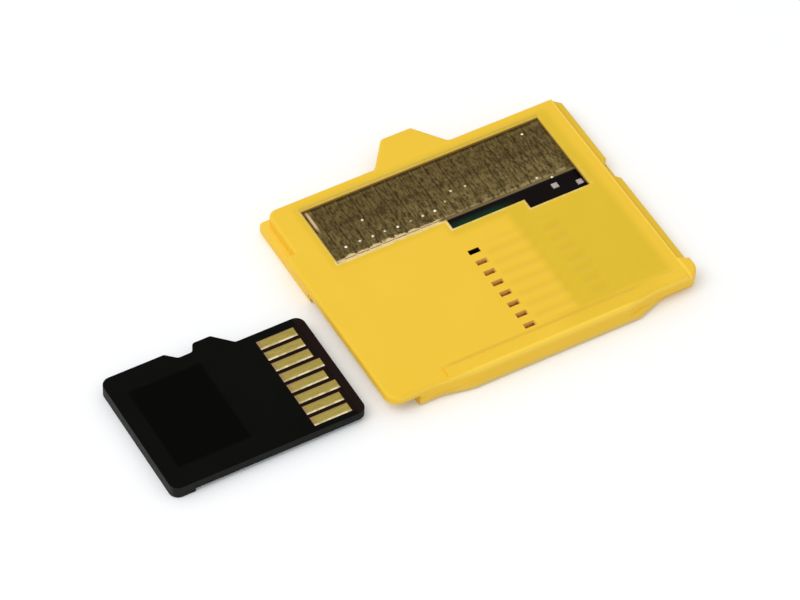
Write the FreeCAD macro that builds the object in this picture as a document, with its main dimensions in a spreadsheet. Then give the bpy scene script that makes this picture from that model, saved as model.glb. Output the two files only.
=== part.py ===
import FreeCAD, Part
import os
import re

import Sketcher

# Memory card adapter in picture-card form, with the micro card that slides into it.
# It lies contact side up, and the micro card is drawn straight out of its mouth.
# Plan sizes are measured from the near left corner of the adapter's outline:
# x runs from the mouth to the far end, y from the finger lip to the contact edge.
# The finished part has its origin in the middle of the adapter's underside, +Z up.

# Driving dimensions in millimetres: name, value, meaning
SIZES = [
    # Main sizes
    ("shell_length", 25.00, "adapter, from the mouth to the far end"),
    ("shell_width", 20.00, "adapter, from the finger lip to the contact edge"),
    ("card_length", 15.00, "micro card, from its tail to its contact end"),
    ("card_wide", 11.00, "micro card, at its tail"),
    # Layers, from the table upwards
    ("card_lift", 0.05, "gap below the thick tail of the micro card"),
    ("card_thick", 0.70, "micro card, its thin part"),
    ("tail_drop", 0.30, "extra thickness of the card's tail, on the label side"),
    ("floor_gap", 0.07, "gap between the thin part of the card and the floor"),
    ("bay_head", 0.07, "gap between the card and the roof of its bay"),
    ("parting", 0.80, "height of the base, where the cover starts"),
    ("board_thick", 0.50, "circuit board"),
    ("board_head", 0.10, "gap above the circuit board"),
    ("strip_thick", 0.12, "spring strip"),
    ("strip_head", 0.06, "gap above the spring strips"),
    ("cover_skin", 0.28, "cover left above the spring channels"),
    ("rail_drop", 0.38, "step down from the cover's face to the guide rail"),
    # Contact row for the host
    ("land_count", 18, "contacts in the host row"),
    ("land_gap", 0.12, "gap between two host contacts"),
    ("land_thick", 0.05, "height of a host contact above the board"),
    ("land_bevel", 0.03, "sloped edge of a contact"),
    # Walls and margins along x
    ("wall_left", 2.60, "outline to circuit board, mouth end"),
    ("row_start", 1.14, "board edge to the first contact"),
    ("row_end", 1.28, "last contact to the board edge"),
    ("wall_right", 1.80, "circuit board to outline, far end"),
    ("rail_width", 0.75, "guide rail at the far end"),
    # Walls and margins along y
    ("near_wall", 1.20, "outline to card bay"),
    ("partition", 0.65, "wall between the bay's wide part and the board"),
    ("partition_nose", 0.70, "wall between the bay's narrow part and the board"),
    ("board_lap", 0.45, "board hidden under the near edge of the window"),
    ("step_lap", 0.75, "board hidden under the near edge of the window's first step"),
    ("land_show", 0.35, "board seen between window edge and contacts"),
    ("window_lap", 0.20, "contacts hidden under the far edge of the window"),
    ("board_edge", 0.20, "contacts to the board's far edge"),
    ("far_wall", 0.70, "board to outline, contact edge"),
    ("board_near", 1.70, "outline to the board's arm beside the springs"),
    ("board_gap", 0.05, "clearance round the board"),
    # Window over the contacts
    ("window_left", 0.73, "window edge before the first contact"),
    ("window_right", 0.47, "window edge after the last contact"),
    ("window_shift", 0.10, "first window step before the contact gap"),
    ("notch_shift", 0.32, "second window step before the contact gap"),
    ("lands_to_step", 8, "contacts beside the first window step"),
    ("lands_to_notch", 14, "contacts beside the second window step"),
    ("window_drop", 0.90, "depth of the second window step"),
    ("window_bevel", 0.14, "bevel round the window"),
    # Outline of the cover
    ("cover_near", 0.55, "outline to the cover's near edge"),
    ("cover_corner", 1.00, "corner radius beside the mouth"),
    ("lip_left", 6.90, "outline to the full reach of the cover's finger lip"),
    ("lip_run_left", 5.30, "slanted near end of that lip"),
    ("lip_right", 6.20, "far end of the outline to the full reach of that lip"),
    ("lip_run_right", 3.20, "slanted far end of that lip"),
    ("near_lean", 7.00, "lean of the finger lip's outer wall, in degrees"),
    ("cap_corner", 1.10, "corner radius at the far end of the near edge"),
    ("cap_length", 1.65, "full face beside the near end of the rail"),
    ("cap_slope", 0.40, "slant from the full face into the rail"),
    ("cap_proud", 0.12, "near end of the rail's side beyond the rail"),
    ("rail_round", 0.16, "rounded outer edge of the guide rail"),
    ("notch_near", 11.25, "outline to the lock notch"),
    ("notch_width", 2.10, "lock notch in the rail"),
    ("notch_depth", 0.55, "depth of the lock notch"),
    ("notch_slope", 0.45, "slanted side of the lock notch"),
    ("lead_bevel", 0.45, "corner of the rail at the contact edge"),
    ("step_width", 0.80, "key step in the cover, along x"),
    ("step_length", 4.30, "key step in the cover, along y"),
    ("lead_corner", 0.75, "corner radius beside the key step"),
    ("tab_shift", 0.12, "leading tab off the middle of the contact edge"),
    ("tab_base", 6.05, "leading tab at its root"),
    ("tab_tip", 2.45, "leading tab at its end"),
    ("tab_reach", 2.35, "leading tab beyond the contact edge"),
    ("tab_round", 0.35, "corner radius of the leading tab"),
    ("face_round", 0.25, "rounded edge of the cover's face"),
    # Raised crest along the finger lip
    ("crest_start", 4.60, "outline to the crest"),
    ("crest_back", 1.65, "outline to the back of the crest"),
    ("crest_rise", 0.12, "height of the crest above the face"),
    ("crest_slope", 0.30, "slanted back of the crest"),
    ("crest_round", 0.22, "rounded outer edge of the crest"),
    # Outline of the base
    ("base_inset", 0.17, "base set back from the rails"),
    ("base_corner", 0.40, "corner radius of the base"),
    ("mouth_floor", 2.35, "outline to the floor of the bay"),
    ("foot_near", 0.50, "outline to the base's near edge at the mouth"),
    ("foot_far", 0.88, "outline to the base's near edge at the far end"),
    ("foot_left", 6.30, "outline to the full reach of the base's finger lip"),
    ("foot_run_left", 2.40, "slanted near end of that lip"),
    ("foot_right", 5.20, "far end of the outline to the full reach of that lip"),
    ("foot_run_right", 2.60, "slanted far end of that lip"),
    ("foot_round", 0.30, "rounded lower edge of the base"),
    # Micro card, plan
    ("card_tail", 5.00, "tail end to the finger notch"),
    ("dent_run", 0.75, "slanted side of the finger notch"),
    ("dent_flat", 1.10, "floor of the finger notch"),
    ("dent_lean", 0.35, "steep side of the finger notch"),
    ("hump_flat", 1.40, "hump after the finger notch"),
    ("shoulder_run", 1.30, "slanted shoulder"),
    ("dent_depth", 0.70, "depth of the finger notch"),
    ("dent_round", 0.30, "corner radius of the finger notch, hump and shoulder"),
    ("card_step", 1.30, "narrow end less wide than the card"),
    ("card_corner", 0.70, "corner radius of the micro card"),
    ("card_round", 0.07, "rounded edges of the micro card"),
    ("tail_length", 1.70, "thick tail of the micro card"),
    # Micro card, contacts
    ("pin_count", 8, "contacts of the micro card"),
    ("pin_pitch", 1.10, "pitch of the card contacts"),
    ("pin_width", 0.80, "width of a card contact"),
    ("pin_length", 2.90, "length of a card contact"),
    ("pin_extra", 0.30, "extra length of the two supply contacts"),
    ("pin_front", 1.00, "contact end to the card contacts"),
    ("pin_far", 0.75, "last card contact to the narrow end's side"),
    ("pin_thick", 0.03, "height of a card contact above the card"),
    # Fit of the micro card
    ("card_side_gap", 0.05, "clearance on each side of the card"),
    ("card_end_gap", 0.05, "clearance at the end stop"),
    ("card_inset", 0.10, "tail inside the outline when pushed home"),
    ("shoulder_gap", 0.12, "clearance along the card at its shoulder"),
    ("drawn_gap", 1.35, "card to outline when drawn out"),
    ("bay_wall", 0.55, "end stop of the bay"),
    # Spring contacts
    ("strip_width", 0.40, "width of a spring strip"),
    ("strip_foot", 3.20, "spring on the board, from the board's edge"),
    ("strip_free", 0.50, "spring before it bends down"),
    ("contact_back", 3.20, "contact point behind the card's contact end"),
    ("tip_flat", 0.34, "flat of the spring tip"),
    ("tip_run", 0.42, "upturned end of the spring"),
    ("tip_gap", 0.03, "spring tip above the card contacts"),
    ("channel_gap", 0.07, "clearance beside a spring strip"),
    ("slot_length", 0.88, "inspection slot, along x"),
    ("slot_width", 0.44, "inspection slot, along y"),
    # Test points
    ("test_size", 0.50, "side of a test point"),
    ("test_edge", 0.31, "outer test point to the window's far side"),
    ("test_step", 1.77, "from one test point to the next"),
    ("test_near", 0.76, "outer test point above the window's near side"),
    ("test_rise", 0.50, "inner test point further from the window's near side"),
]

# Sizes worked out from the driving dimensions: name, formula
DERIVED = [
    ("card_top", "card_lift + tail_drop + card_thick"),
    ("floor_thick", "card_lift + tail_drop - floor_gap"),
    ("bay_roof", "card_top + bay_head"),
    ("board_top", "parting + board_thick"),
    ("strip_top", "board_top + strip_thick"),
    ("channel_roof", "strip_top + strip_head"),
    ("shell_thick", "channel_roof + cover_skin"),
    ("rail_top", "shell_thick - rail_drop"),
    ("row_x", "wall_left + row_start"),
    ("board_right", "shell_length - wall_right"),
    ("row_length", "board_right - row_end - row_x"),
    ("land_pitch", "row_length / land_count"),
    ("pin_row", "(pin_count - 1) * pin_pitch + pin_width"),
    ("card_narrow", "card_wide - card_step"),
    ("pin_near", "card_narrow - pin_far - pin_row"),
    ("dent_start", "card_tail + dent_run"),
    ("dent_end", "dent_start + dent_flat"),
    ("hump_start", "dent_end + dent_lean"),
    ("hump_end", "hump_start + hump_flat"),
    ("shoulder_end", "hump_end + shoulder_run"),
    ("card_y", "near_wall + card_side_gap"),
    ("bay_far", "card_y + card_wide + card_side_gap"),
    ("bay_nose_far", "card_y + card_narrow + card_side_gap"),
    ("bay_end", "card_inset + card_length + card_end_gap"),
    ("board_near_a", "bay_far + partition"),
    ("board_near_b", "bay_nose_far + partition_nose"),
    ("window_near_a", "board_near_a + board_lap"),
    ("window_near_b", "board_near_b + step_lap"),
    ("window_near_c", "window_near_b - window_drop"),
    ("board_far", "shell_width - far_wall"),
    ("land_near", "window_near_a + land_show"),
    ("land_far", "board_far - board_edge"),
    ("land_length", "land_far - land_near"),
    ("window_far", "land_far - window_lap"),
    ("window_x", "row_x - window_left"),
    ("window_end", "row_x + row_length + window_right"),
    ("window_step", "row_x + lands_to_step * land_pitch - window_shift"),
    ("window_notch", "row_x + lands_to_notch * land_pitch - notch_shift"),
    ("board_step_a", "window_step - board_lap"),
    ("board_step_b", "bay_end + bay_wall"),
    ("tab_x", "shell_length / 2 + tab_shift"),
    ("cap_far", "cover_near + cap_length"),
    ("crest_top", "shell_thick + crest_rise"),
    ("crest_near", "(shell_thick - face_round) * tan(near_lean)"),
    ("crest_end", "shell_length - cap_corner"),
    ("rail_side", "shell_length - cap_proud"),
    ("contact_x", "card_inset + card_length - contact_back"),
    ("pin_y", "card_y + pin_near + pin_width / 2"),
    ("tip_low", "card_top + pin_thick + tip_gap"),
    ("strip_end", "board_step_b + strip_foot"),
    ("strip_bend", "board_step_b - strip_free"),
    ("tip_right", "contact_x + tip_flat / 2"),
    ("tip_left", "contact_x - tip_flat / 2"),
    ("tip_end", "tip_left - tip_run"),
    ("channel_start", "tip_end - 2 * channel_gap"),
    ("channel_end", "strip_end + channel_gap"),
    ("channel_width", "strip_width + 2 * channel_gap"),
    ("drawn_x", "-(card_length + drawn_gap)"),
]

doc = FreeCAD.newDocument("MemoryCardAdapter")
sheet = doc.addObject("Spreadsheet::Sheet", "Size")
ALIASES = [name for name, *_ in SIZES + DERIVED]
WORD = re.compile(r"[a-z]\w*")


def bound(formula):
    """The formula with each size written as a cell of the sheet."""
    return WORD.sub(lambda word: "Size." + word.group() if word.group() in ALIASES else word.group(), formula)


def fill_sheet():
    for row, (name, value, meaning) in enumerate(SIZES, 1):
        sheet.set(f"A{row}", meaning)
        sheet.set(f"B{row}", str(value))
        sheet.setAlias(f"B{row}", name)
    for row, (name, formula) in enumerate(DERIVED, len(SIZES) + 1):
        sheet.set(f"A{row}", name.replace("_", " "))
        sheet.set(f"B{row}", "=" + formula)
        sheet.setAlias(f"B{row}", name)
    doc.recompute()


def size(name):
    """The present value of one cell of the sheet."""
    return float(sheet.get(name))


# Building blocks


def place(part, x="0", y="0", z="0"):
    """Put a piece at plan coordinates, with the part's origin under the middle of the adapter."""
    part.setExpression("Placement.Base.x", bound(f"{x} - shell_length / 2"))
    part.setExpression("Placement.Base.y", bound(f"{y} - shell_width / 2"))
    part.setExpression("Placement.Base.z", bound(z))


def new_body(label, x="0", y="0", z="0"):
    body = doc.addObject("PartDesign::Body", label)
    body.Label = label
    place(body, x, y, z)
    return body


def polygon(body, name, plane, offset, corners):
    """A closed sketch on one of the body's origin planes, each corner bound to the sheet."""
    sketch = body.newObject("Sketcher::SketchObject", name)
    support = next(item for item in body.Origin.OriginFeatures if item.Role == plane)
    sketch.AttachmentSupport = [(support, "")]
    sketch.MapMode = "FlatFace"
    sketch.setExpression("AttachmentOffset.Base.z", bound(offset))
    count = len(corners)
    middle = FreeCAD.Vector(size("card_length"), size("card_wide"), 0)
    start = []
    for i in range(count):
        turn = FreeCAD.Rotation(FreeCAD.Vector(0, 0, 1), 360.0 * i / count)
        start.append(middle + turn.multVec(middle / 2))
    for i in range(count):
        sketch.addGeometry(Part.LineSegment(start[i], start[(i + 1) % count]), False)
    for i in range(count):
        sketch.addConstraint(Sketcher.Constraint("Coincident", i, 2, (i + 1) % count, 1))
    for i, (along, across) in enumerate(corners):
        for kind, formula, value in (("DistanceX", along, start[i].x), ("DistanceY", across, start[i].y)):
            index = sketch.addConstraint(Sketcher.Constraint(kind, -1, 1, i, 1, value))
            sketch.setExpression(f"Constraints[{index}]", bound(formula))
    return sketch


def rectangle(x0, x1, y0, y1):
    return [(x0, y0), (x1, y0), (x1, y1), (x0, y1)]


def pad(body, name, sketch, height):
    feature = body.newObject("PartDesign::Pad", name)
    feature.Profile = sketch
    feature.setExpression("Length", bound(height))
    doc.recompute()
    return feature


def pocket(body, name, sketch, depth, forward):
    """Cut from the sketch plane, forward along its normal or against it, and make sure that it cuts."""
    before = body.Shape.Volume
    feature = body.newObject("PartDesign::Pocket", name)
    feature.Profile = sketch
    feature.Reversed = forward
    feature.setExpression("Length", bound(depth))
    doc.recompute()
    if body.Shape.Volume >= before:
        raise RuntimeError(f"{name} cuts nothing")
    return feature


def repeat(body, name, feature, count, pitch):
    """Repeat one feature along +Y."""
    pattern = body.newObject("PartDesign::LinearPattern", name)
    pattern.Originals = [feature]
    axis = next(item for item in body.Origin.OriginFeatures if item.Role == "Y_Axis")
    pattern.Direction = (axis, [""])
    pattern.setExpression("Length", bound(f"({count} - 1) * {pitch}"))
    pattern.setExpression("Occurrences", bound(count))
    body.Tip = pattern
    doc.recompute()
    return pattern


def edges(body, wanted):
    """Names of the edges of the body's last feature whose two ends both satisfy a test."""
    shape = body.Tip.Shape
    names = []
    for number, edge in enumerate(shape.Edges, 1):
        ends = [vertex.Point for vertex in edge.Vertexes]
        if len(ends) == 2 and all(wanted(point) for point in ends):
            names.append(f"Edge{number}")
    return names


def upright(body, x, y):
    """The upright edges above one plan point, which is given as two values."""
    return edges(body, lambda point: abs(point.x - x) < 1e-4 and abs(point.y - y) < 1e-4)


def level(body, height):
    """The edges that lie at one height."""
    return edges(body, lambda point: abs(point.z - height) < 1e-4)


def lean(body, name, wanted, angle):
    """Lean the side faces whose corners all satisfy a test inwards, going up from the underside."""
    base = body.Tip
    names = []
    for number, face in enumerate(base.Shape.Faces, 1):
        corners = [vertex.Point for vertex in face.Vertexes]
        if abs(face.normalAt(0, 0).z) < 1e-6 and all(wanted(point) for point in corners):
            names.append(f"Face{number}")
    feature = body.newObject("PartDesign::Draft", name)
    feature.Base = (base, names)
    underside = next(item for item in body.Origin.OriginFeatures if item.Role == "XY_Plane")
    feature.NeutralPlane = (underside, [""])
    feature.setExpression("Angle", bound(angle))
    body.Tip = feature
    doc.recompute()
    return feature


def soften(body, name, kind, names, amount):
    """A fillet or a chamfer on named edges of the body's last feature."""
    base = body.Tip
    feature = body.newObject(kind, name)
    feature.Base = (base, names)
    feature.setExpression("Radius" if kind == "PartDesign::Fillet" else "Size", bound(amount))
    body.Tip = feature
    doc.recompute()
    return feature


def contact(label, length, width, height, x, y, z):
    """A flat metal contact with sloped edges, its near left corner at x, y on the face at height z."""
    land = doc.addObject("Part::Wedge", label)
    land.Label = label
    land.Placement = FreeCAD.Placement(FreeCAD.Vector(), FreeCAD.Rotation(FreeCAD.Vector(1, 0, 0), 90))
    for name, formula in (
        ("Xmin", "0"), ("Xmax", length), ("X2min", "land_bevel"), ("X2max", f"{length} - land_bevel"),
        ("Zmin", f"-({width})"), ("Zmax", "0"), ("Z2min", f"land_bevel - ({width})"), ("Z2max", "-land_bevel"),
        ("Ymin", "0"), ("Ymax", height),
    ):
        land.setExpression(name, bound(formula))
    place(land, x, y, z)
    return land


# Outlines shared by pieces that fit each other


def cover_outline(rail):
    """Outline of the cover, at the guide rail's level or at its raised face."""
    outline = [
        ("0", "cover_near"),
        ("lip_left - lip_run_left", "cover_near"),
        ("lip_left", "0"),
        ("shell_length - lip_right", "0"),
        ("shell_length - lip_right + lip_run_right", "cover_near"),
        ("shell_length", "cover_near"),
    ]
    if rail:
        outline += [
            ("shell_length", "cap_far"),
            ("rail_side", "cap_far + cap_proud"),
            ("rail_side", "notch_near"),
            ("shell_length - notch_depth", "notch_near + notch_slope"),
            ("shell_length - notch_depth", "notch_near + notch_width - notch_slope"),
            ("rail_side", "notch_near + notch_width"),
            ("rail_side", "shell_width - lead_bevel"),
            ("rail_side - lead_bevel", "shell_width"),
        ]
    else:
        outline += [
            ("shell_length", "cap_far"),
            ("shell_length - rail_width", "cap_far + cap_slope"),
            ("shell_length - rail_width", "shell_width"),
        ]
    return outline + [
        ("tab_x + tab_base / 2", "shell_width"),
        ("tab_x + tab_tip / 2", "shell_width + tab_reach"),
        ("tab_x - tab_tip / 2", "shell_width + tab_reach"),
        ("tab_x - tab_base / 2", "shell_width"),
        ("step_width", "shell_width"),
        ("step_width", "shell_width - step_length"),
        ("0", "shell_width - step_length"),
    ]


def bay_outline(start):
    """Plan of the card bay, which narrows past the card's shoulder."""
    return [
        (start, "near_wall"),
        ("bay_end", "near_wall"),
        ("bay_end", "bay_nose_far"),
        ("card_inset + shoulder_end + shoulder_gap", "bay_nose_far"),
        ("card_inset + hump_end + shoulder_gap", "bay_far"),
        (start, "bay_far"),
    ]


def board_outline(gap):
    """Plan of the circuit board, or of its recess when a gap is given."""
    return [
        (f"wall_left - {gap}", f"board_near_a - {gap}"),
        (f"board_step_a - {gap}", f"board_near_a - {gap}"),
        (f"board_step_a - {gap}", f"board_near_b - {gap}"),
        (f"board_step_b - {gap}", f"board_near_b - {gap}"),
        (f"board_step_b - {gap}", f"board_near - {gap}"),
        (f"board_right + {gap}", f"board_near - {gap}"),
        (f"board_right + {gap}", f"board_far + {gap}"),
        (f"wall_left - {gap}", f"board_far + {gap}"),
    ]


# Base: the lower moulding, with the floor and side walls of the card bay


def make_base():
    body = new_body("base_shell")
    outline = polygon(body, "BaseOutline", "XY_Plane", "0", [
        ("mouth_floor", "foot_near"),
        ("foot_left - foot_run_left", "foot_near"),
        ("foot_left", "0"),
        ("shell_length - foot_right", "0"),
        ("shell_length - foot_right + foot_run_right", "foot_far"),
        ("shell_length - base_inset", "foot_far"),
        ("shell_length - base_inset", "shell_width"),
        ("base_inset", "shell_width"),
        ("base_inset", "bay_far"),
        ("mouth_floor", "bay_far"),
    ])
    pad(body, "BasePlate", outline, "parting")
    right = size("shell_length") - size("base_inset")
    corners = upright(body, right, size("foot_far")) + upright(body, right, size("shell_width"))
    corners += upright(body, size("base_inset"), size("shell_width"))
    soften(body, "BaseCorners", "PartDesign::Fillet", corners, "base_corner")
    lip_start = size("foot_left") - size("foot_run_left") - 0.01
    lip_end = size("shell_length") - size("foot_right") + size("foot_run_right") + 0.01
    lean(body, "BaseLean", lambda p: lip_start < p.x < lip_end and p.y < size("near_wall"), "near_lean")
    mouth = edges(body, lambda p: abs(p.x - size("mouth_floor")) < 1e-4)
    foot = [name for name in level(body, 0.0) if name not in mouth]
    soften(body, "BaseFoot", "PartDesign::Fillet", foot, "foot_round")
    bay = polygon(body, "BasePocket", "XY_Plane", "parting", bay_outline("mouth_floor"))
    pocket(body, "BaseBay", bay, "parting - floor_thick", False)


# Cover: the upper moulding, with rails, leading tab, lip, window, slots and spring channels


def make_cover():
    body = new_body("contact_cover")
    flange = polygon(body, "FlangeOutline", "XY_Plane", "parting", cover_outline(True))
    pad(body, "Flange", flange, "rail_top - parting")
    face = polygon(body, "FaceOutline", "XY_Plane", "rail_top", cover_outline(False))
    pad(body, "Face", face, "rail_drop")
    length, width = size("shell_length"), size("shell_width")
    near = size("cover_near")
    tab_end = width + size("tab_reach")
    soften(body, "MouthCorner", "PartDesign::Fillet", upright(body, 0.0, near), "cover_corner")
    soften(body, "CapCorner", "PartDesign::Fillet", upright(body, length, near), "cap_corner")
    soften(body, "KeyCorner", "PartDesign::Fillet", upright(body, size("step_width"), width), "lead_corner")
    tab_corners = []
    for side in (-1, 1):
        tab_corners += upright(body, size("tab_x") + side * size("tab_tip") / 2, tab_end)
        tab_corners += upright(body, size("tab_x") + side * size("tab_base") / 2, width)
    soften(body, "TabCorners", "PartDesign::Fillet", tab_corners, "tab_round")
    rail = edges(body, lambda p: abs(p.z - size("rail_top")) < 1e-4 and p.y > size("cap_far") + 1e-4
                 and p.x > length - size("rail_width") + 1e-4)
    soften(body, "RailEdge", "PartDesign::Fillet", rail, "rail_round")
    lip_start = size("lip_left") - size("lip_run_left") - 0.01
    lip_end = length - size("lip_right") + size("lip_run_right") + 0.01
    lean(body, "NearLean", lambda p: lip_start < p.x < lip_end and p.y < near + 1e-4, "near_lean")
    soften(body, "FaceEdge", "PartDesign::Fillet", level(body, size("shell_thick")), "face_round")
    crest = polygon(body, "CrestOutline", "XY_Plane", "rail_top", [
        ("crest_start", "crest_near + cover_near * (lip_left - crest_start) / lip_run_left"),
        ("lip_left", "crest_near"),
        ("shell_length - lip_right", "crest_near"),
        ("shell_length - lip_right + lip_run_right * (1 - crest_near / cover_near)", "cover_near"),
        ("crest_end", "cover_near"),
        ("crest_end", "crest_back"),
        ("crest_start", "crest_back"),
    ])
    pad(body, "Crest", crest, "crest_top - rail_top")
    slope = polygon(body, "CrestSlope", "YZ_Plane", "crest_start", [
        ("crest_back - crest_slope", "crest_top"),
        ("crest_back", "shell_thick"),
        ("crest_back", "crest_top"),
    ])
    pocket(body, "CrestBack", slope, "crest_end - crest_start", True)
    soften(body, "CrestEdge", "PartDesign::Fillet", edges(
        body, lambda p: p.z > size("crest_top") - 1e-4 and p.y < near + 1e-4), "crest_round")
    window = polygon(body, "WindowOutline", "XY_Plane", "shell_thick", [
        ("window_x", "window_near_a"),
        ("window_step", "window_near_a"),
        ("window_step", "window_near_b"),
        ("window_notch", "window_near_b"),
        ("window_notch", "window_near_c"),
        ("window_end", "window_near_c"),
        ("window_end", "window_far"),
        ("window_x", "window_far"),
    ])
    pocket(body, "Window", window, "shell_thick - board_top", False)
    low_x, high_x = size("window_x") - 0.01, size("window_end") + 0.01
    low_y, high_y = size("window_near_c") - 0.01, size("window_far") + 0.01
    rim = edges(body, lambda p: abs(p.z - size("shell_thick")) < 1e-4
                and low_x < p.x < high_x and low_y < p.y < high_y)
    soften(body, "WindowRim", "PartDesign::Chamfer", rim, "window_bevel")
    bay = polygon(body, "CoverPocket", "XY_Plane", "parting", [
        ("0", "0"),
        ("mouth_floor", "0"),
        ("mouth_floor", "near_wall"),
    ] + bay_outline("mouth_floor")[1:5] + [("0", "bay_far")])
    pocket(body, "CoverBay", bay, "bay_roof - parting", True)
    recess = polygon(body, "BoardRecess", "XY_Plane", "parting", board_outline("board_gap"))
    pocket(body, "BoardSeat", recess, "board_thick + board_head", True)
    groove = polygon(body, "ChannelOutline", "XY_Plane", "parting", rectangle(
        "channel_start", "channel_end", "pin_y - channel_width / 2", "pin_y + channel_width / 2"))
    channel = pocket(body, "Channel", groove, "channel_roof - parting", True)
    repeat(body, "Channels", channel, "pin_count", "pin_pitch")
    opening = polygon(body, "SlotOutline", "XY_Plane", "shell_thick", rectangle(
        "contact_x - slot_length / 2", "contact_x + slot_length / 2",
        "pin_y - slot_width / 2", "pin_y + slot_width / 2"))
    slot = pocket(body, "Slot", opening, "shell_thick - bay_roof", False)
    repeat(body, "Slots", slot, "pin_count", "pin_pitch")


# Circuit board with the host contacts and two test points


def make_board():
    body = new_body("circuit_board", z="parting")
    outline = polygon(body, "BoardOutline", "XY_Plane", "0", board_outline("0"))
    pad(body, "Board", outline, "board_thick")
    for i in range(int(size("land_count"))):
        contact(f"host_contact_{i + 1:02d}", "land_pitch - land_gap", "land_length", "land_thick",
                f"row_x + {i} * land_pitch + land_gap / 2", "land_near", "board_top")
    for i in range(2):
        contact(f"test_point_{i + 1}", "test_size", "test_size", "land_thick",
                f"window_end - test_edge - test_size / 2 - {i} * test_step",
                f"window_near_c + test_near - test_size / 2 + {i} * test_rise", "board_top")


# Spring contacts: strips that lie on the board and reach down over the card's contacts


def make_springs():
    for i in range(int(size("pin_count"))):
        body = new_body(f"spring_contact_{i + 1}", y=f"pin_y + {i} * pin_pitch")
        profile = polygon(body, f"StripProfile{i + 1}", "XZ_Plane", "0", [
            ("strip_end", "board_top"),
            ("strip_end", "strip_top"),
            ("strip_bend", "strip_top"),
            ("tip_right", "tip_low + strip_thick"),
            ("tip_left", "tip_low + strip_thick"),
            ("tip_end", "strip_top"),
            ("tip_end - strip_thick", "strip_top - strip_thick / 2"),
            ("tip_left", "tip_low"),
            ("tip_right", "tip_low"),
            ("strip_bend", "board_top"),
        ])
        strip = pad(body, f"Strip{i + 1}", profile, "strip_width")
        strip.SideType = "Symmetric"
        doc.recompute()


# Micro card, drawn out of the mouth by its own length and a gap


def make_card():
    body = new_body("card_body", "drawn_x", "card_y", "card_lift")
    outline = polygon(body, "CardOutline", "XY_Plane", "tail_drop", [
        ("0", "0"),
        ("card_length", "0"),
        ("card_length", "card_narrow"),
        ("shoulder_end", "card_narrow"),
        ("hump_end", "card_wide"),
        ("hump_start", "card_wide"),
        ("dent_end", "card_wide - dent_depth"),
        ("dent_start", "card_wide - dent_depth"),
        ("card_tail", "card_wide"),
        ("0", "card_wide"),
    ])
    pad(body, "CardPlate", outline, "card_thick")
    tail = polygon(body, "TailOutline", "XY_Plane", "0", rectangle("0", "tail_length", "0", "card_wide"))
    pad(body, "Tail", tail, "tail_drop")
    length, wide, narrow = size("card_length"), size("card_wide"), size("card_narrow")
    dent = wide - size("dent_depth")
    corners = []
    for x, y in ((0.0, 0.0), (length, 0.0), (length, narrow), (0.0, wide)):
        corners += upright(body, x, y)
    soften(body, "CardCorners", "PartDesign::Fillet", corners, "card_corner")
    bends = []
    for x, y in (("card_tail", wide), ("dent_start", dent), ("dent_end", dent),
                 ("hump_start", wide), ("hump_end", wide), ("shoulder_end", narrow)):
        bends += upright(body, size(x), y)
    soften(body, "CardBends", "PartDesign::Fillet", bends, "dent_round")
    rim = level(body, size("card_thick") + size("tail_drop"))
    soften(body, "CardEdge", "PartDesign::Fillet", rim, "card_round")
    for i in range(int(size("pin_count"))):
        extra = "pin_extra" if i in (2, 4) else "0"
        contact(f"card_contact_{i + 1}", f"pin_length + {extra}", "pin_width", "pin_thick",
                "drawn_x + card_length - pin_front - pin_length",
                f"card_y + pin_near + {i} * pin_pitch", "card_top")


def write_parts():
    """Check every object and each piece, then write one file for each piece."""
    doc.recompute()
    for item in doc.Objects:
        if "Invalid" in item.State or "Error" in item.State:
            raise RuntimeError(f"{item.Label} failed: {item.State}")
    pieces = [item for item in doc.Objects if item.isDerivedFrom("PartDesign::Body") or item.TypeId == "Part::Wedge"]
    for piece in pieces:
        if piece.Shape.isNull() or not piece.Shape.isValid() or len(piece.Shape.Solids) != 1:
            raise RuntimeError(f"{piece.Label} is not one sound solid")
    os.makedirs("parts", exist_ok=True)
    for piece in pieces:
        piece.Shape.exportStep(f"parts/{piece.Label}.step")
        box = piece.Shape.BoundBox
        print(f"{piece.Label}: {piece.Shape.Volume:.3f} mm3, x {box.XMin:.2f} to {box.XMax:.2f}, "
              f"y {box.YMin:.2f} to {box.YMax:.2f}, z {box.ZMin:.2f} to {box.ZMax:.2f}")


fill_sheet()
make_base()
make_cover()
make_board()
make_springs()
make_card()
write_parts()
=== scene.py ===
import math

import bpy
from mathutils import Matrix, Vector


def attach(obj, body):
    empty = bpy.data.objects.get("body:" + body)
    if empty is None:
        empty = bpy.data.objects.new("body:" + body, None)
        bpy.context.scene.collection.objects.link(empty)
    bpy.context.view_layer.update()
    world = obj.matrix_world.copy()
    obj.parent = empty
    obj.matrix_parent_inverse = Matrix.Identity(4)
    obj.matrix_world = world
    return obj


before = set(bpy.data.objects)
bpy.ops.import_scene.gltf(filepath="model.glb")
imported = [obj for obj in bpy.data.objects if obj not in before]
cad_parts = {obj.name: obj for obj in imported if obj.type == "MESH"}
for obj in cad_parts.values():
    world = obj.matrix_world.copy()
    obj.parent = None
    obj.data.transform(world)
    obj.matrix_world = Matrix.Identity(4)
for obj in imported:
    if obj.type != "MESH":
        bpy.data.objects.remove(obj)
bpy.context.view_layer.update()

# Places and sizes, in millimetres from the middle of the adapter's underside.
# A pair is a stretch, from its low end to its high end.

# Host contacts on the circuit board
LAND_TOP = 1.35
LAND_PITCH = 1.01
LANDS_LEFT = -8.76
LANDS_NEAR = 3.75
LANDS_PALE = (-1.3, -0.9)
LANDS_SHADED = (-3.4, -0.6)
LANDS_DULL = (6.56, 6.90)
BARE_PAD_X = (-9.18, -8.98)
BARE_PAD_START = (6.6, 7.6)

# Contacts of the micro card, drawn out
PIN_PITCH = 1.10
PIN_WIDTH = 0.80
PINS_NEAR = -8.30
PINS_LEFT = -17.75

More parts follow.
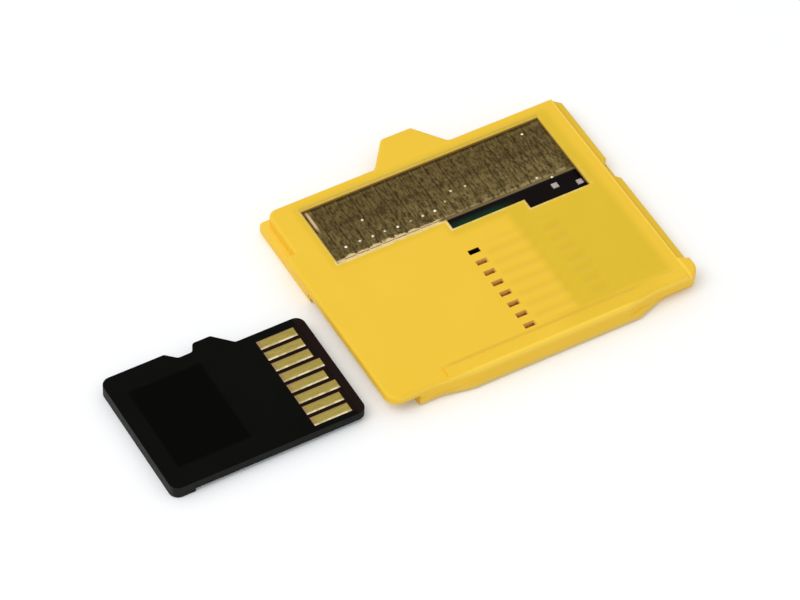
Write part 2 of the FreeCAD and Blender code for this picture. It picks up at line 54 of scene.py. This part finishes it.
# Inspection slots, and the springs under the cover
SLOT_MIDDLE = -0.60
SLOTS_X = (SLOT_MIDDLE - 0.50, SLOT_MIDDLE + 0.50)
SLOTS_Y = (-8.2, 0.2)
LAST_SLOT = (-0.9, -0.6)
RIBS_X = ((0.2, 3.7), (4.8, 6.2))
RIBS_Y = (-8.3, 0.3)
RIBS_START = -7.9

# Finger lip: its crest, the valley behind it, its outer wall and the shaded part near the board
LIP_X = (-7.6, 8.0)
LIP_CREST = (-9.84, -9.60)
LIP_VALLEY = (-8.66, -8.34)
LIP_WALL = (-9.5, -9.2)
LIP_SHADE_X = (1.6, 9.4)
LIP_SHADE_Y = (-8.2, -7.8)

# Key step's ledge, and the guide rail with the cover's edge above it
LEDGE_X = (-11.5, -11.3)
LEDGE_TOP = (1.0, 1.2)
RAIL_X = (11.7, 11.9)
RAIL_TOP = (1.42, 1.50)
BROW_X = (11.50, 11.74)
BROW_FOOT = (1.40, 1.46)

# Height of the walls of the window and of the slots, and the window's far rim
WINDOW_WALL = (1.0, 1.615)
SLOT_WALL = (1.0, 1.715)
FAR_RIM_X = (-9.6, 10.0)
FAR_RIM_Y = (9.04, 9.14)

# Parts of the micro card's face and tail, drawn out
PANEL = (-27.6, -22.0, -7.1, 0.4)
PIN_FIELD = (-17.8, -14.6, -8.35, 0.25)
CARD_FRONT = (-14.7, -14.4)
CARD_TAIL = (-28.78, -28.68)

# Corners of the cover's window, as boxes: low x, high x, low y, high y
WINDOW_BOXES = ((-9.63, 10.03, 3.26, 9.04), (-0.92, 10.03, 2.31, 9.04), (4.92, 10.03, 1.41, 9.04))

# Outline of the circuit board under the cover, as boxes: low x, high x, low y, high y
BOARD_BOXES = ((-9.9, 10.7, 2.95, 9.3), (-1.2, 10.7, 1.7, 9.3), (3.2, 10.7, -8.3, 9.3))

# Plated holes in the host contacts, filled with solder: x and y of each, and their shape
VIAS = (
    (-8.14, 4.73), (-7.00, 4.75), (-5.97, 4.73), (-4.99, 4.75), (-3.99, 4.66), (-2.91, 4.72), (-1.93, 4.73),
    (-0.94, 4.73), (0.14, 5.18), (0.98, 5.86), (2.12, 5.79), (8.24, 8.22), (7.02, 4.02), (8.02, 3.60), (-5.89, 6.42),
)
VIA_RADIUS = 0.11
VIA_RISE = 0.3
VIA_SINK = 0.02
VIA_RINGS = 8
VIA_SIDES = 16

# Studio, with places in metres and turns in degrees: each lamp is its name, place, side and watts
FLOOR_HALF = 1.5
FLOOR_DROP = 0.00001
FLOOR_GLOW = 0.075
WORLD_LIGHT = 0.73
LAMPS = (("key", (-0.30, -0.04, 0.52), 0.36, 1.09), ("fill", (-0.40, 0.15, 0.40), 0.40, 0.18))
CAMERA_PLACE = (-0.116732, -0.185460, 0.247501)
CAMERA_TURN = (41.0148, -1.1788, -29.3934)
CAMERA_LENS = 211.01


def rgb(red, green, blue):
    """A screen colour of 0 to 255 a channel as the scene's linear colour."""
    linear = []
    for value in (red, green, blue):
        share = value / 255
        linear.append(share / 12.92 if share <= 0.04045 else ((share + 0.055) / 1.055) ** 2.4)
    return (*linear, 1.0)


class Look:
    """One procedural material, with coordinates in millimetres of the part's own frame."""

    def __init__(self, name, metallic=0.0, specular=0.5):
        self.material = bpy.data.materials.new(name)
        self.material.use_nodes = True
        self.tree = self.material.node_tree
        self.shader = self.tree.nodes["Principled BSDF"]
        self.shader.inputs["Metallic"].default_value = metallic
        self.shader.inputs["Specular IOR Level"].default_value = specular
        place = self.tree.nodes.new("ShaderNodeTexCoord").outputs["Object"]
        self.place = self.scaled(place, (1000, 1000, 1000))
        split = self.tree.nodes.new("ShaderNodeSeparateXYZ")
        self.link(self.place, split.inputs[0])
        self.x, self.y, self.z = split.outputs
        self.height = None
        self.tint = None

    def link(self, source, target):
        """Connect an output, or set a plain value."""
        if isinstance(source, (int, float, tuple)):
            target.default_value = source
        else:
            self.tree.links.new(source, target)

    def scaled(self, vector, factors):
        node = self.tree.nodes.new("ShaderNodeVectorMath")
        node.operation = "MULTIPLY"
        self.link(vector, node.inputs[0])
        node.inputs[1].default_value = factors
        return node.outputs[0]

    def math(self, operation, a, b=0.0):
        node = self.tree.nodes.new("ShaderNodeMath")
        node.operation = operation
        self.link(a, node.inputs[0])
        self.link(b, node.inputs[1])
        return node.outputs[0]

    def product(self, first, *others):
        """The product of several values, or the share where several masks overlap."""
        for value in others:
            first = self.math("MULTIPLY", first, value)
        return first

    def ramp(self, value, stretch, start=0.0, end=1.0):
        """A smooth step from start to end as the value goes along the stretch."""
        node = self.tree.nodes.new("ShaderNodeMapRange")
        node.interpolation_type = "SMOOTHSTEP"
        self.link(value, node.inputs["Value"])
        for name, number in (("From Min", stretch[0]), ("From Max", stretch[1]), ("To Min", start), ("To Max", end)):
            node.inputs[name].default_value = number
        return node.outputs["Result"]

    def drop(self, value, stretch, start=1.0):
        """A smooth step down to 0."""
        return self.ramp(value, stretch, start, 0.0)

    def inside(self, value, stretch, soft):
        """1 along the stretch, fading to 0 outside."""
        low, high = stretch
        return self.product(
            self.ramp(value, (low - soft, low + soft)), self.drop(value, (high - soft, high + soft)))

    def boxes(self, boxes, grow, soft):
        """1 inside any of these boxes, each grown by this much on every side."""
        mask = None
        for x0, x1, y0, y1 in boxes:
            across = self.inside(self.x, (x0 - grow, x1 + grow), soft)
            box = self.product(across, self.inside(self.y, (y0 - grow, y1 + grow), soft))
            mask = box if mask is None else self.math("MAXIMUM", mask, box)
        return mask

    def cell(self, value, start, pitch):
        """0 to 1 across each cell of an even row."""
        return self.math("FRACT", self.product(self.math("SUBTRACT", value, start), 1 / pitch))

    def noise(self, scale, detail=3.0, factors=(1.0, 1.0, 1.0)):
        node = self.tree.nodes.new("ShaderNodeTexNoise")
        self.link(self.scaled(self.place, factors), node.inputs["Vector"])
        node.inputs["Scale"].default_value = scale
        node.inputs["Detail"].default_value = detail
        return node.outputs["Fac"]

    def blend(self, share, first, second):
        node = self.tree.nodes.new("ShaderNodeMix")
        node.data_type = "RGBA"
        self.link(share, node.inputs["Factor"])
        self.link(first, node.inputs["A"])
        self.link(second, node.inputs["B"])
        return node.outputs["Result"]

    def paint(self, colour, *masks):
        """Lay a colour over the last one where all the masks hold, or begin anew where there is no mask."""
        self.tint = self.blend(self.product(*masks), self.tint, colour) if masks else colour
        self.link(self.tint, self.shader.inputs["Base Color"])

    def rough(self, scale, low, high):
        """Let the roughness vary between two values."""
        self.link(self.ramp(self.noise(scale), (0.3, 0.7), low, high), self.shader.inputs["Roughness"])

    def relief(self, height, depth):
        """Add a fine relief, as deep as this in millimetres."""
        node = self.tree.nodes.new("ShaderNodeBump")
        node.inputs["Distance"].default_value = depth / 1000
        self.link(height, node.inputs["Height"])
        if self.height is not None:
            self.link(self.height, node.inputs["Normal"])
        self.height = node.outputs["Normal"]
        self.link(self.height, self.shader.inputs["Normal"])

    def facing_up(self):
        """1 on faces that look up, 0 on walls."""
        node = self.tree.nodes.new("ShaderNodeNewGeometry")
        split = self.tree.nodes.new("ShaderNodeSeparateXYZ")
        self.link(node.outputs["True Normal"], split.inputs[0])
        return self.ramp(split.outputs[2], (0.2, 0.9))


# Yellow mouldings


def paint_ledge_and_rail(look, top):
    """Painted light and shade: the ledge beside the key step is painted a shade lighter, the guide rail gets painted
    shade and the edge above it a painted highlight.
    """
    # Painted light on the ledge, painted shade on the rail, painted highlight on the edge above it
    look.paint(rgb(244, 207, 74), look.drop(look.x, LEDGE_X), look.drop(look.z, LEDGE_TOP), top)
    look.paint(rgb(226, 187, 44), look.ramp(look.x, RAIL_X), look.drop(look.z, RAIL_TOP), top)
    look.paint(rgb(255, 214, 72), look.inside(look.x, BROW_X, 0.06), look.ramp(look.z, BROW_FOOT), 0.8)


def paint_finger_lip(look, top):
    """The lip gets a painted highlight on its crest and painted shade in the valley behind it; its outer wall is
    painted brighter at the top and darker at its foot as painted shade.
    """
    along = look.product(look.inside(look.x, LIP_X, 0.8), top)
    # Painted shade in the valley, painted highlight on the crest
    look.paint(rgb(222, 180, 36), look.inside(look.y, LIP_VALLEY, 0.14), along, 0.75)
    look.paint(rgb(255, 216, 70), look.inside(look.y, LIP_CREST, 0.10), along, 0.9)
    wall = look.product(look.math("SUBTRACT", 1.0, top), look.drop(look.y, LIP_WALL))
    # Painted highlight high on the outer wall, painted shade at its foot
    look.paint(rgb(255, 222, 88), wall, look.ramp(look.z, (1.2, 1.8), 0.0, 0.7))
    look.paint(rgb(217, 192, 106), wall, look.drop(look.z, (0.1, 0.9), 0.7))


def paint_window(look, top):
    """The window's rim gets a pale, patchy painted highlight, most of all near left; its far rim and its walls are
    painted darker as painted shadow.
    """
    rim = look.math("SUBTRACT", look.boxes(WINDOW_BOXES, 0.10, 0.10), look.boxes(WINDOW_BOXES, -0.14, 0.04))
    near = look.ramp(look.y, (3.0, 3.9), 1.0, 0.22)
    left = look.ramp(look.x, (-1.2, 0.2), 1.0, 0.55)
    right_end = look.ramp(look.x, (9.3, 9.8), 1.0, 0.3)
    patchy = look.ramp(look.noise(2.4, 2.0), (0.35, 0.62), 0.35, 1.0)
    # Painted highlight on the rim
    look.paint(rgb(250, 226, 176), rim, near, left, right_end, patchy, top, 0.85)
    # Painted shade on the far rim and painted shadow on the walls
    far = look.product(look.inside(look.y, FAR_RIM_Y, 0.04), look.inside(look.x, FAR_RIM_X, 0.05))
    look.paint(rgb(196, 164, 78), far, top, 0.7)
    wall = look.product(look.boxes(WINDOW_BOXES, 0.02, 0.02), look.inside(look.z, WINDOW_WALL, 0.065))
    look.paint(rgb(150, 118, 60), wall, look.ramp(look.y, (0.8, 1.2)))


def paint_ribs(look, top):
    """Faint sink marks over the springs."""
    wave = look.math("COSINE", look.product(look.math("SUBTRACT", look.y, RIBS_START), 2 * math.pi / PIN_PITCH))
    bands = look.math("MAXIMUM", look.inside(look.x, RIBS_X[0], 0.4), look.inside(look.x, RIBS_X[1], 0.3))
    marks = look.product(wave, bands, look.inside(look.y, RIBS_Y, 0.3), top)
    look.paint(rgb(214, 166, 34), look.drop(marks, (-1.0, 0.0), 0.20))
    look.relief(marks, 0.042)


def paint_slots(look):
    """The walls of the inspection slots are warm, and the farthest slot is black."""
    walls = look.product(
        look.inside(look.x, SLOTS_X, 0.02), look.inside(look.y, SLOTS_Y, 0.02),
        look.inside(look.z, SLOT_WALL, 0.035))
    look.paint(look.blend(look.ramp(look.y, LAST_SLOT), rgb(250, 208, 124), rgb(22, 8, 8)), walls)


def yellow_plastic(name):
    """Glossy yellow, a shade greener where the dark board lies behind the thin cover, and with painted shade on the
    lip's part near the board.
    """
    look = Look(name, specular=0.25)
    top = look.facing_up()
    mottle = look.noise(0.35, 4.0)
    look.paint(look.blend(mottle, rgb(239, 194, 46), rgb(243, 199, 54)))
    # Painted shade on the lip's part near the board, laid with the greener tone over the board
    lip = look.product(look.inside(look.x, LIP_SHADE_X, 1.0), look.drop(look.y, LIP_SHADE_Y, 0.4))
    board_backed_and_lip_shade = look.math("MAXIMUM", look.boxes(BOARD_BOXES, 0.0, 0.45), lip)
    look.paint(look.blend(mottle, rgb(219, 183, 32), rgb(228, 191, 40)), board_backed_and_lip_shade, top)
    paint_ledge_and_rail(look, top)
    paint_finger_lip(look, top)
    paint_window(look, top)
    look.relief(look.noise(22.0, 2.0), 0.004)
    paint_ribs(look, top)
    paint_slots(look)
    look.rough(6.0, 0.36, 0.48)
    return look.material


# Circuit board and contacts


def worn(look):
    """The uneven grain of the worn contacts, 0 to 1."""
    grain = look.product(look.noise(2.0, 5.0, (2.6, 0.9, 1.0)), 0.6)
    speck = look.product(look.noise(5.5, 3.0, (1.2, 0.8, 1.0)), 0.4)
    return look.ramp(look.math("ADD", grain, speck), (0.34, 0.66))


def board_mask(name):
    """Green going to black before the host contacts, olive between them, with bare and pale spots."""
    look = Look(name, specular=0.04)
    dark = look.blend(look.noise(2.0), rgb(8, 3, 3), rgb(18, 9, 8))
    look.paint(look.blend(look.noise(1.5), rgb(4, 40, 28), rgb(20, 62, 42)))
    look.paint(dark, look.ramp(look.x, (2.2, 5.2)))
    look.paint(dark, look.ramp(look.y, (2.7, 3.4)))
    look.paint(rgb(126, 112, 76), look.ramp(look.y, (3.50, 3.70)))
    # The near edge by the left contacts is pale
    pale = look.drop(look.x, LANDS_PALE)
    look.paint(rgb(252, 230, 184), pale, look.ramp(look.noise(3.0, 2.0), (0.3, 0.6), 0.7, 1.0))
    before_row = look.tint
    look.paint(look.blend(worn(look), rgb(70, 56, 30), rgb(120, 103, 62)))
    # Bare tinned copper beside the first contact
    look.paint(rgb(230, 198, 146), look.inside(look.x, BARE_PAD_X, 0.05), look.ramp(look.y, BARE_PAD_START), 0.9)
    near_ends = look.drop(look.y, (LANDS_NEAR + 0.1, LANDS_NEAR + 0.2))
    look.paint(rgb(230, 206, 154), near_ends, pale, 0.8)
    # Painted light: the board is painted lighter towards the window's far wall, against its shade
    look.paint(rgb(186, 164, 108), look.ramp(look.y, (8.4, 8.9), 0.0, 0.3))
    look.paint(before_row, look.drop(look.y, (LANDS_NEAR - 0.06, LANDS_NEAR + 0.06)))
    look.rough(4.0, 0.24, 0.38)
    look.relief(look.noise(9.0), 0.004)
    return look.material


def host_gold(name):
    """Dull, mottled gold, a little darker away from the near end and towards the left."""
    look = Look(name, metallic=1.0)
    grain = worn(look)
    look.paint(look.blend(grain, rgb(64, 51, 26), rgb(118, 101, 60)))
    look.paint(look.blend(grain, rgb(66, 54, 28), rgb(132, 115, 72)), look.drop(look.y, (5.15, 6.75)))
    look.paint(rgb(48, 40, 22), look.drop(look.x, LANDS_SHADED, 0.10))
    # A dull band crosses them; their far ends are painted lighter as painted light and their edges darker as painted
    # shade
    look.paint(rgb(48, 38, 22), look.inside(look.y, LANDS_DULL, 0.12), 0.3)
    look.paint(rgb(176, 156, 104), look.ramp(look.y, (8.4, 9.0), 0.0, 0.5))
    across = look.cell(look.x, LANDS_LEFT, LAND_PITCH)
    edges = look.math("MAXIMUM", look.drop(across, (0.10, 0.30)), look.ramp(across, (0.84, 0.92)))
    look.paint(rgb(46, 36, 22), edges, 0.08)
    # The near ends are bare and bright, with a painted highlight where their edges catch light, most of all at the
    # left
    reach = look.ramp(look.noise(1.8, 2.0), (0.3, 0.7), -0.10, 0.10)
    near_ends = look.drop(look.math("ADD", look.y, reach), (LANDS_NEAR + 0.12, LANDS_NEAR + 0.30))
    look.paint(rgb(222, 198, 146), near_ends, look.ramp(look.x, LANDS_PALE, 0.95, 0.22))
    look.rough(5.0, 0.34, 0.5)
    look.relief(look.noise(3.0, 4.0, (3.4, 0.6, 1.0)), 0.010)
    return look.material


def card_gold(name):
    """Brushed gold, with a broken painted highlight along each contact's near side."""
    look = Look(name, metallic=1.0)
    look.paint(look.blend(look.noise(2.2, 4.0, (0.6, 2.6, 1.0)), rgb(142, 126, 54), rgb(182, 164, 88)))
    up = look.cell(look.y, PINS_NEAR, PIN_PITCH)
    side = PIN_WIDTH / PIN_PITCH
    far_sides = look.ramp(up, (side - 0.16, side - 0.02), 0.0, 0.7)
    tail_ends = look.drop(look.x, (PINS_LEFT + 0.1, PINS_LEFT + 0.35))
    look.paint(rgb(150, 118, 92), look.math("MAXIMUM", far_sides, look.product(tail_ends, 0.6)))
    # Painted highlight along each contact's near side, broken by noise
    broken = look.ramp(look.noise(2.2, 2.0), (0.34, 0.62), 0.25, 0.9)
    look.paint(rgb(246, 232, 196), look.drop(up, (0.04, 0.17)), broken)
    look.rough(6.0, 0.24, 0.4)
    look.relief(look.noise(8.0, 3.0, (0.5, 1.8, 1.0)), 0.004)
    return look.material


def black_plastic(name):
    """Nearly black, with walls painted greyer and the tail wall lighter as painted light on lit sides, a darker
    panel and a brownish field round the contacts.
    """
    look = Look(name, specular=0.02)
    look.paint(look.blend(look.noise(0.5), rgb(8, 8, 6), rgb(13, 13, 11)))
    look.paint(rgb(3, 3, 2), look.boxes((PANEL,), 0.0, 0.12))
    look.paint(rgb(30, 17, 12), look.boxes((PIN_FIELD,), 0.0, 0.10))
    look.paint(rgb(30, 20, 18), look.ramp(look.x, CARD_FRONT))
    face = look.tint
    # Painted light: the walls are painted greyer than the face, and the tail wall lighter still, as lit sides
    look.paint(look.blend(look.noise(2.0), rgb(30, 30, 29), rgb(44, 44, 42)))
    look.paint(rgb(50, 50, 49), look.drop(look.x, CARD_TAIL))
    look.paint(face, look.facing_up())
    look.rough(3.0, 0.42, 0.58)
    look.relief(look.noise(20.0, 2.0), 0.003)
    return look.material


def bare_metal(name, first, second, scale=3.0, stretch=(0.0, 1.0)):
    """Tinned or soldered metal in two tones."""
    look = Look(name, metallic=1.0)
    look.paint(look.blend(look.ramp(look.noise(scale), stretch), first, second))
    look.rough(6.0, 0.25, 0.4)
    look.relief(look.noise(10.0), 0.004)
    return look.material


def spring_metal(name):
    """Copper alloy, painted lighter in the middle of a slot as painted light on its crown; the farthest spring is
    black.
    """
    look = Look(name, metallic=1.0)
    look.paint(look.blend(look.noise(3.0), rgb(232, 180, 100), rgb(244, 194, 116)))
    # Painted light on the crown in the middle of the slot
    crown = look.inside(look.x, (SLOT_MIDDLE - 0.12, SLOT_MIDDLE + 0.22), 0.16)
    look.paint(look.blend(look.noise(3.0), rgb(232, 190, 134), rgb(244, 206, 152)), crown)
    look.paint(rgb(16, 6, 6), look.ramp(look.y, LAST_SLOT))
    look.rough(6.0, 0.28, 0.42)
    look.relief(look.noise(10.0), 0.004)
    return look.material


# Pieces


def dress(prefix, material):
    """Give every CAD node whose name starts so one material."""
    for name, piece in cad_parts.items():
        if name.startswith(prefix):
            for slot in piece.material_slots:
                slot.material = material


def add_dome(x, y, corners, faces):
    """One low dome on a host contact: a flattened ball, its lower half pressed into a flat foot."""
    rings = []
    for ring in range(VIA_RINGS + 1):
        down = math.pi * ring / VIA_RINGS
        reach = VIA_RADIUS * math.sin(down)
        z = LAND_TOP + max(VIA_RADIUS * math.cos(down), -VIA_SINK) * VIA_RISE
        sides = VIA_SIDES if 0 < ring < VIA_RINGS else 1
        rings.append([len(corners) + side % sides for side in range(VIA_SIDES + 1)])
        for side in range(sides):
            turn = 2 * math.pi * side / VIA_SIDES
            corner = (x + reach * math.cos(turn), y + reach * math.sin(turn), z)
            corners.append([size / 1000 for size in corner])
    for upper, lower in zip(rings, rings[1:]):
        for side in range(VIA_SIDES):
            # A face that touches a pole has that corner twice, and keeps it once
            faces.append(list(dict.fromkeys((lower[side + 1], upper[side + 1], upper[side], lower[side]))))


def via_dots(material):
    """Plated holes filled with solder, low domes on the host contacts."""
    corners, faces = [], []
    for x, y in VIAS:
        add_dome(x, y, corners, faces)
    mesh = bpy.data.meshes.new("via_dots")
    mesh.from_pydata(corners, [], faces)
    mesh.materials.append(material)
    for face in mesh.polygons:
        face.use_smooth = True
    piece = bpy.data.objects.new("via_dots", mesh)
    bpy.context.scene.collection.objects.link(piece)
    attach(piece, "adapter")


# Studio


def make_floor():
    """A pale floor, which looks a little brighter to the camera."""
    mesh = bpy.data.meshes.new("floor")
    half = FLOOR_HALF
    mesh.from_pydata([(-half, -half, 0), (half, -half, 0), (half, half, 0), (-half, half, 0)], [], [(0, 1, 2, 3)])
    floor = bpy.data.objects.new("floor", mesh)
    floor.location.z = -FLOOR_DROP
    bpy.context.scene.collection.objects.link(floor)
    look = Look("floor", specular=0.0)
    look.paint(look.blend(look.noise(0.002), rgb(252, 250, 249), rgb(253, 252, 252)))
    look.shader.inputs["Roughness"].default_value = 0.9
    look.shader.inputs["Emission Color"].default_value = (0.55, 0.85, 1, 1)
    camera_ray = look.tree.nodes.new("ShaderNodeLightPath").outputs["Is Camera Ray"]
    look.link(look.product(camera_ray, FLOOR_GLOW), look.shader.inputs["Emission Strength"])
    mesh.materials.append(look.material)


def make_world():
    """White surroundings, softer as a light than as seen."""
    world = bpy.data.worlds.new("studio")
    bpy.context.scene.world = world
    world.use_nodes = True
    tree = world.node_tree
    path = tree.nodes.new("ShaderNodeLightPath")
    seen = path.outputs["Is Camera Ray"]
    for ray in ("Is Glossy Ray", "Is Transmission Ray"):
        node = tree.nodes.new("ShaderNodeMath")
        node.operation = "MAXIMUM"
        tree.links.new(seen, node.inputs[0])
        tree.links.new(path.outputs[ray], node.inputs[1])
        seen = node.outputs[0]
    level = tree.nodes.new("ShaderNodeMapRange")
    tree.links.new(seen, level.inputs["Value"])
    level.inputs["To Min"].default_value = WORLD_LIGHT
    level.inputs["To Max"].default_value = 1.0
    background = tree.nodes["Background"]
    background.inputs["Color"].default_value = (1, 1, 1, 1)
    tree.links.new(level.outputs["Result"], background.inputs["Strength"])


def make_lamps():
    """Soft square lamps, aimed at the part."""
    for name, place, side, power in LAMPS:
        lamp = bpy.data.lights.new(name, "AREA")
        lamp.size = side
        lamp.energy = power
        light = bpy.data.objects.new(name, lamp)
        light.location = place
        light.rotation_euler = (-Vector(place)).to_track_quat("-Z", "Y").to_euler()
        bpy.context.scene.collection.objects.link(light)


def make_camera():
    """The photograph's camera."""
    lens = bpy.data.cameras.new("camera")
    lens.sensor_width = 36
    lens.lens = CAMERA_LENS
    lens.clip_start = 0.01
    camera = bpy.data.objects.new("camera", lens)
    camera.location = CAMERA_PLACE
    camera.rotation_euler = [math.radians(angle) for angle in CAMERA_TURN]
    bpy.context.scene.collection.objects.link(camera)
    bpy.context.scene.camera = camera


tin = bare_metal("tin", rgb(160, 150, 146), rgb(200, 190, 184))
solder = bare_metal("solder", rgb(164, 152, 108), rgb(255, 246, 214), 0.8, (0.40, 0.60))
dress("base_shell", yellow_plastic("base_plastic"))
dress("contact_cover", yellow_plastic("cover_plastic"))
dress("circuit_board", board_mask("solder_mask"))
dress("host_contact", host_gold("host_gold"))
dress("test_point", tin)
dress("spring_contact", spring_metal("spring_metal"))
dress("card_body", black_plastic("card_plastic"))
dress("card_contact", card_gold("card_gold"))
via_dots(solder)
make_floor()
make_world()
make_lamps()
make_camera()
bpy.context.scene.view_settings.view_transform = "Standard"
